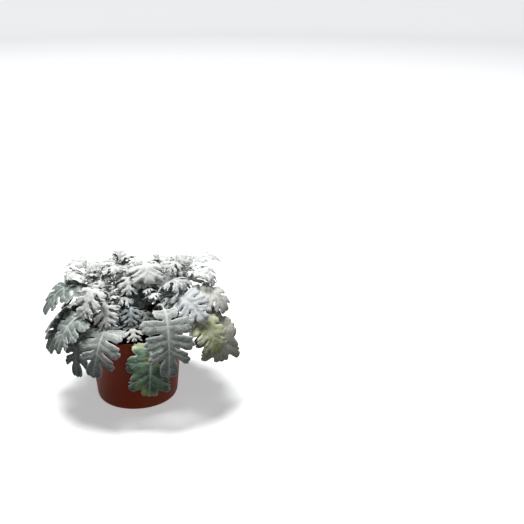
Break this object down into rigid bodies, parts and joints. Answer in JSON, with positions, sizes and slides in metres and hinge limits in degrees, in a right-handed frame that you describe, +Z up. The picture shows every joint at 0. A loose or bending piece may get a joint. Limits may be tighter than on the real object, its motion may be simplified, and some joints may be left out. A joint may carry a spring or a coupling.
{
  "type": "potted_plant",
  "caption": "Dusty miller with silver white felted, deeply lobed leaves, growing in a round red-brown plastic nursery pot filled with dark potting soil",
  "frame": {"origin": "centre of the pot's underside, in the plane it stands on", "axes": "+Z up along the pot's axis, -Y towards the plant's best side, where the largest leaf hangs over the rim; +X to the right seen from there"},
  "size_m": [0.2335, 0.2091, 0.1745],
  "materials": {
    "pot": "satin",
    "soil": "matte",
    "foliage": "matte"
  },
  "bodies": {
    "root": {"pot": "pot", "soil": "soil", "shoot_front": "foliage", "shoot_front_right": "foliage", "shoot_front_left": "foliage", "shoot_middle": "foliage", "shoot_right": "foliage", "shoot_left": "foliage", "shoot_back_right": "foliage", "shoot_back": "foliage"}
  },
  "joints": []
}
